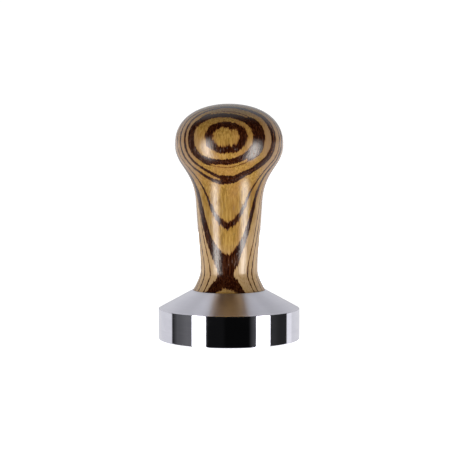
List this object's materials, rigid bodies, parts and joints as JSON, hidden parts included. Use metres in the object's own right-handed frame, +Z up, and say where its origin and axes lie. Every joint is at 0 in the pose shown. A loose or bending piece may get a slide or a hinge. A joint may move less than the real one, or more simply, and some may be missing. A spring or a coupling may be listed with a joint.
{
  "type": "espresso tamper",
  "caption": "Turned striped-wood handle with a flared rounded head, screwed onto a flat polished steel tamping base with a coned top.",
  "frame": {"origin": "centre of the flat tamping face, on the underside of the base", "axes": "+Z up the turning axis, from the tamping face towards the head of the handle; -Y towards the viewer"},
  "size_m": [0.058, 0.058, 0.0962],
  "materials": {
    "polished_steel": "polished",
    "screw_steel": "satin",
    "seal_rubber": "matte",
    "insert_brass": "satin",
    "zebrano_wood": "gloss"
  },
  "bodies": {
    "base": {"base": "polished_steel", "set_screw": "screw_steel"},
    "seal": {"seal_ring": "seal_rubber"},
    "handle": {"handle": "zebrano_wood", "threaded_insert": "insert_brass"}
  },
  "joints": [
    {"name": "handle_lift", "type": "slide", "parent": "base", "child": "seal", "axis": [0, 0, 1], "range_m": [0, 0.00938]},
    {"name": "handle_unscrew", "type": "hinge", "parent": "seal", "child": "handle", "pos_m": [0, 0, 0.02], "axis": [0, 0, 1], "range_deg": [0, 2700]}
  ],
  "couplings": [
    {"joint": "handle_lift", "follows": "handle_unscrew", "m_per_rad": 0.00019894}
  ]
}
